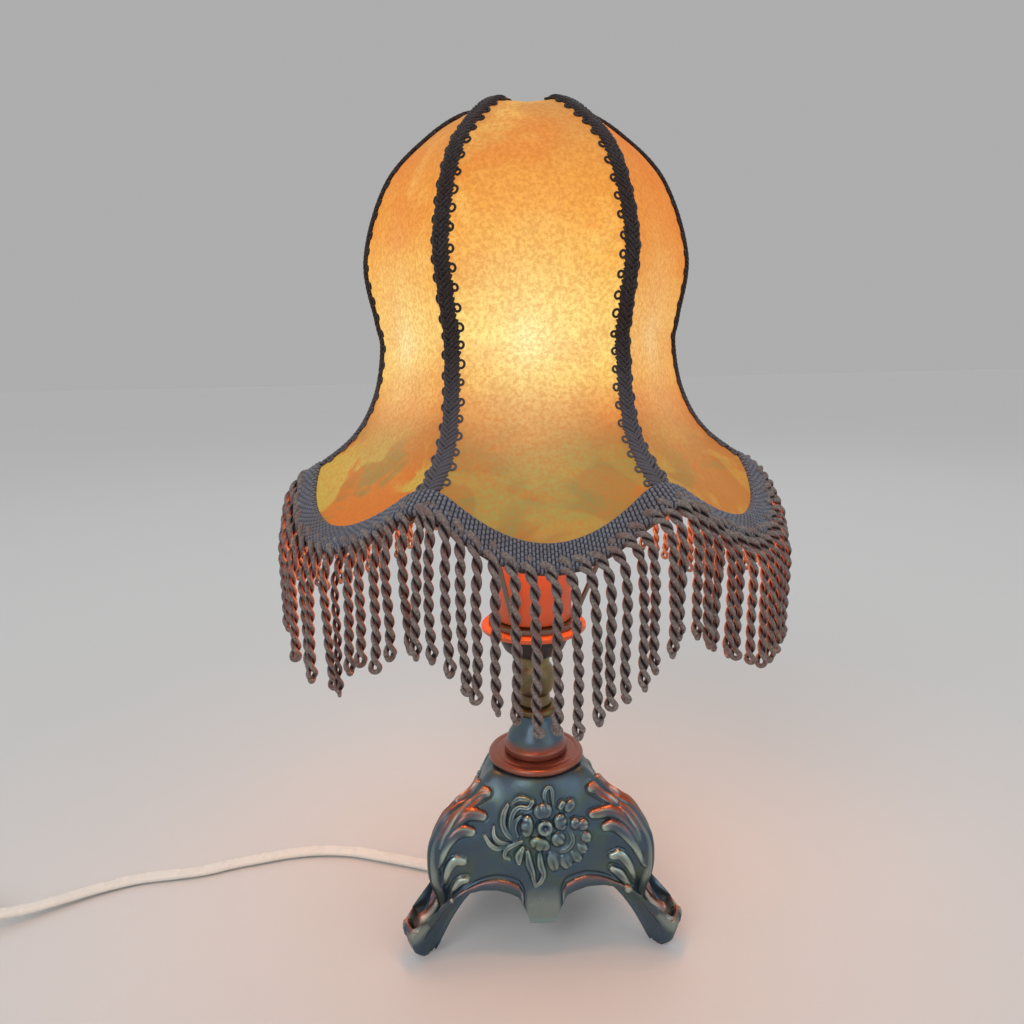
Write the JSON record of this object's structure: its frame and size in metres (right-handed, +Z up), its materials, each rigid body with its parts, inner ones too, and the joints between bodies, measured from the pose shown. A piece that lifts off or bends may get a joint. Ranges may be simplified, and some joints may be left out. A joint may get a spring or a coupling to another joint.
{
  "type": "boudoir lamp",
  "caption": "Small bedside table lamp with a cast three-footed base, turned stem, screw lampholder and a panelled bell shade with braid and twisted fringe.",
  "frame": {"origin": "on the table, on the axis of the stem, at the centre of the lamp without its cord", "axes": "+Z up along the stem, the front face with the flower looks towards -Y, the cord leaves towards -X"},
  "size_m": [0.4125, 0.2262, 0.3173],
  "materials": {
    "antique_bronze": "aged satin",
    "antique_brass": "aged satin",
    "brass": "polished",
    "plated_steel": "satin",
    "black_plastic": "satin",
    "amber_plastic": "gloss",
    "porcelain": "glazed, opaque",
    "frosted_glass": "frosted",
    "clear_glass": "clear",
    "tungsten": "bare wire",
    "copper_wire": "bare",
    "amber_cloth": "stretched, translucent",
    "taupe_braid": "woven",
    "grey_taupe_band": "woven",
    "taupe_bullion": "twisted cord",
    "white_vinyl": "smooth, glossy",
    "white_plastic": "gloss",
    "grey_plastic": "satin"
  },
  "bodies": {
    "lamp": {"base_casting": "antique_bronze", "base_washer": "plated_steel", "base_nut": "plated_steel", "cord_relief": "white_plastic", "inner_cord": "white_vinyl", "collar_disc": "antique_bronze", "neck_dome": "antique_bronze", "check_ring": "antique_brass", "ball_spacer": "antique_brass", "threaded_tube": "plated_steel", "holder_cap": "black_plastic", "holder_body": "amber_plastic", "holder_block": "porcelain", "screw_shell": "brass", "centre_contact": "brass", "terminal_screws": "brass", "lead_wires": "copper_wire", "cord_lead": "white_vinyl", "switch_base": "white_plastic", "switch_cover": "white_plastic", "switch_axle": "plated_steel", "switch_screws": "plated_steel", "cord_tail": "white_vinyl", "cord_coil": "white_vinyl", "plug_body": "white_plastic", "plug_pins": "brass"},
    "shade": {"fitter_ring": "plated_steel", "fitter_arms": "plated_steel", "shade_ribs": "plated_steel", "shade_top_ring": "plated_steel", "hem_wire": "plated_steel", "shade_panel_1": "amber_cloth", "shade_panel_2": "amber_cloth", "shade_panel_3": "amber_cloth", "shade_panel_4": "amber_cloth", "shade_panel_5": "amber_cloth", "shade_panel_6": "amber_cloth", "rib_gimp_1": "taupe_braid", "rib_gimp_2": "taupe_braid", "rib_gimp_3": "taupe_braid", "rib_gimp_4": "taupe_braid", "rib_gimp_5": "taupe_braid", "rib_gimp_6": "taupe_braid", "top_binding": "taupe_braid", "hem_band": "grey_taupe_band", "bullion_fringe": "taupe_bullion"},
    "locking_ring": {"shade_ring": "amber_plastic"},
    "bulb_screw": {"bulb_cap": "brass", "bulb_contact": "black_plastic"},
    "bulb_envelope": {"bulb_glass": "frosted_glass", "bulb_stem": "clear_glass", "bulb_filament": "tungsten"},
    "thumb_wheel": {"switch_wheel": "grey_plastic"}
  },
  "joints": [
    {"name": "shade_turn", "type": "hinge", "parent": "lamp", "child": "shade", "pos_m": [0, 0, 0.127], "axis": [0, 0, 1], "continuous": true},
    {"name": "locking_ring_turn", "type": "hinge", "parent": "lamp", "child": "locking_ring", "pos_m": [0, 0, 0.14], "axis": [0, 0, 1], "range_deg": [0, 720]},
    {"name": "bulb_lift", "type": "slide", "parent": "lamp", "child": "bulb_screw", "axis": [0, 0, 1], "range_m": [0, 0.0113]},
    {"name": "bulb_turn", "type": "hinge", "parent": "bulb_screw", "child": "bulb_envelope", "pos_m": [0, 0, 0.15], "axis": [0, 0, 1], "range_deg": [0, 1440]},
    {"name": "thumb_wheel_turn", "type": "hinge", "parent": "lamp", "child": "thumb_wheel", "pos_m": [-0.262, -0.004, 0.0085], "axis": [0, 1, 0], "continuous": true}
  ],
  "couplings": [
    {"joint": "bulb_lift", "follows": "bulb_turn", "m_per_rad": 0.000449}
  ]
}
